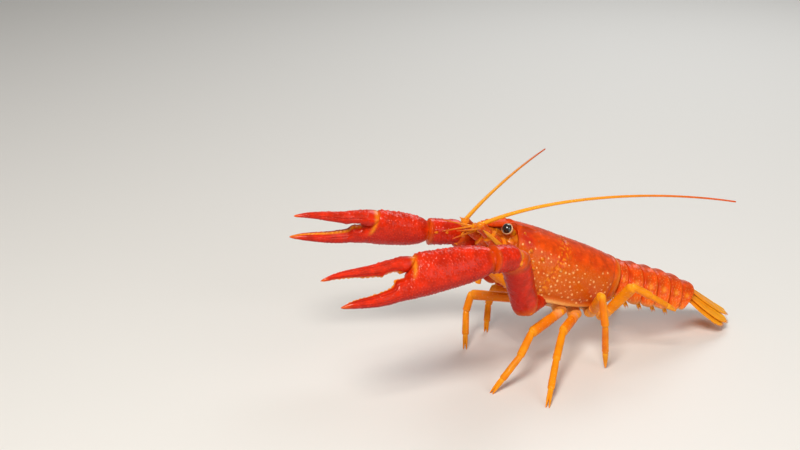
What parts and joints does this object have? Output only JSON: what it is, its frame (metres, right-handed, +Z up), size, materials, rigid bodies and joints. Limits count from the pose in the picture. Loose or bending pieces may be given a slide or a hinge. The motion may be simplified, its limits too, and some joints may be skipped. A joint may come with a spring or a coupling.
{
  "type": "red swamp crayfish",
  "caption": "Life-size crayfish with a ridged shell, jointed tail and fan, held-out claws, thin walking legs and long feelers, standing reared with its head raised.",
  "frame": {"origin": "on the floor under the middle of the whole crayfish", "axes": "+X towards the head and claws, +Y towards the animal's left side, +Z up"},
  "size_m": [0.1528, 0.0912, 0.0596],
  "materials": {
    "shell": "orange-red semi-gloss shell",
    "tail": "orange-red semi-gloss shell plates",
    "claw": "glossy deep red",
    "leg": "orange-yellow satin",
    "feeler": "golden yellow satin",
    "pale": "pale cream satin",
    "fan": "orange-yellow satin",
    "eye": "glossy black"
  },
  "bodies": {
    "root": {"antenna_base_left": "feeler", "antenna_base_right": "feeler", "antenna_lower_left": "feeler", "antenna_lower_right": "feeler", "antenna_scale_left": "feeler", "antenna_scale_right": "feeler", "antenna_upper_left": "feeler", "antenna_upper_right": "feeler", "arm_base_left": "claw", "arm_base_right": "claw", "claw_finger_left": "claw", "claw_finger_right": "claw", "eye_left": "eye", "eye_right": "eye", "eyestalk_left": "feeler", "eyestalk_right": "feeler", "face": "feeler", "feeler_left": "feeler", "feeler_right": "feeler", "left_leg_1_lower": "leg", "left_leg_1_upper": "leg", "left_leg_2_lower": "leg", "left_leg_2_upper": "leg", "left_leg_3_lower": "leg", "left_leg_3_upper": "leg", "left_leg_4_lower": "leg", "left_leg_4_upper": "leg", "mouth_leg_left": "leg", "mouth_leg_right": "leg", "palm_left": "claw", "palm_right": "claw", "right_leg_1_lower": "leg", "right_leg_1_upper": "leg", "right_leg_2_lower": "leg", "right_leg_2_upper": "leg", "right_leg_3_lower": "leg", "right_leg_3_upper": "leg", "right_leg_4_lower": "leg", "right_leg_4_upper": "leg", "shell": "shell", "tail_blade_inner_left": "fan", "tail_blade_inner_right": "fan", "tail_blade_outer_left": "fan", "tail_blade_outer_right": "fan", "tail_segment_1": "tail", "tail_segment_2": "tail", "tail_segment_3": "tail", "tail_segment_4": "tail", "tail_segment_5": "tail", "tail_segment_6": "tail", "telson": "fan", "underside": "pale", "upper_arm_left": "claw", "upper_arm_right": "claw", "wrist_left": "claw", "wrist_right": "claw"}
  },
  "joints": []
}
